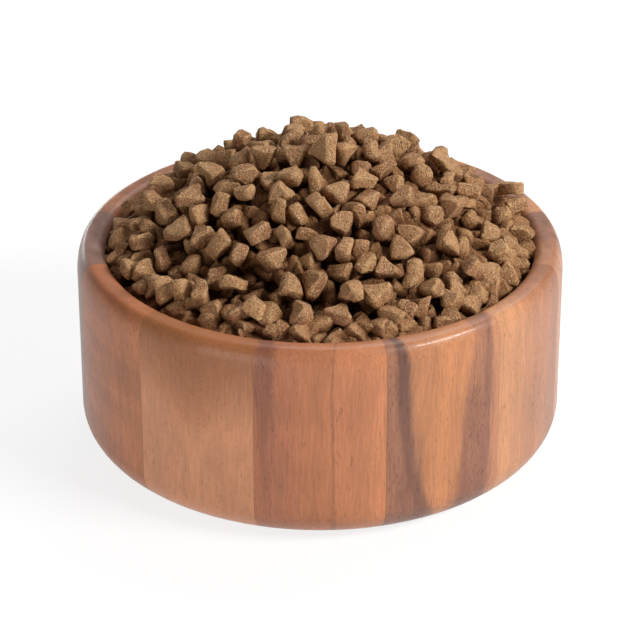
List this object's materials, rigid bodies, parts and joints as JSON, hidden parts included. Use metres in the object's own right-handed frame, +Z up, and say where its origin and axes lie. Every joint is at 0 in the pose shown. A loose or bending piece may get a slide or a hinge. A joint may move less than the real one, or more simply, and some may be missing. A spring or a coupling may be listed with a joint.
{
  "type": "wooden bowl heaped with dry pet food",
  "caption": "Round straight-sided bowl coopered from wooden staves round a base panel, heaped above its rim with dry three-cornered pet food kibbles.",
  "frame": {"origin": "centre of the underside, on the surface that the bowl stands on", "axes": "+Z up along the bowl's axis, -Y towards the front of the pictured view, +X to its right"},
  "size_m": [0.203, 0.203, 0.1413],
  "materials": {
    "stave_01": "satin",
    "stave_02": "satin",
    "stave_03": "satin",
    "stave_04": "satin",
    "stave_05": "satin",
    "stave_06": "satin",
    "stave_07": "satin",
    "stave_08": "satin",
    "stave_09": "satin",
    "stave_10": "satin",
    "stave_11": "satin",
    "stave_12": "satin",
    "base_panel": "satin",
    "kibble": "matte"
  },
  "bodies": {
    "root": {"stave_01": "stave_01", "stave_02": "stave_02", "stave_03": "stave_03", "stave_04": "stave_04", "stave_05": "stave_05", "stave_06": "stave_06", "stave_07": "stave_07", "stave_08": "stave_08", "stave_09": "stave_09", "stave_10": "stave_10", "stave_11": "stave_11", "stave_12": "stave_12", "base_panel": "base_panel", "kibble_heap": "kibble", "kibble_01": "kibble", "kibble_02": "kibble", "kibble_03": "kibble", "kibble_04": "kibble", "kibble_05": "kibble", "kibble_06": "kibble", "kibble_07": "kibble", "kibble_08": "kibble", "kibble_09": "kibble", "kibble_10": "kibble", "kibble_11": "kibble", "kibble_12": "kibble", "kibble_13": "kibble", "kibble_14": "kibble", "kibble_15": "kibble", "kibble_16": "kibble", "kibble_17": "kibble", "kibble_18": "kibble", "kibble_19": "kibble", "kibble_20": "kibble", "kibble_21": "kibble", "kibble_22": "kibble", "kibble_23": "kibble", "kibble_24": "kibble", "kibble_25": "kibble", "kibble_26": "kibble", "kibble_27": "kibble", "kibble_28": "kibble", "kibble_29": "kibble", "kibble_30": "kibble", "kibble_31": "kibble", "kibble_32": "kibble", "kibble_33": "kibble", "kibble_34": "kibble", "kibble_35": "kibble", "kibble_36": "kibble", "kibble_37": "kibble", "kibble_38": "kibble", "kibble_39": "kibble", "kibble_40": "kibble", "kibble_41": "kibble", "kibble_42": "kibble", "kibble_43": "kibble", "kibble_44": "kibble", "kibble_45": "kibble", "kibble_46": "kibble"}
  },
  "joints": []
}
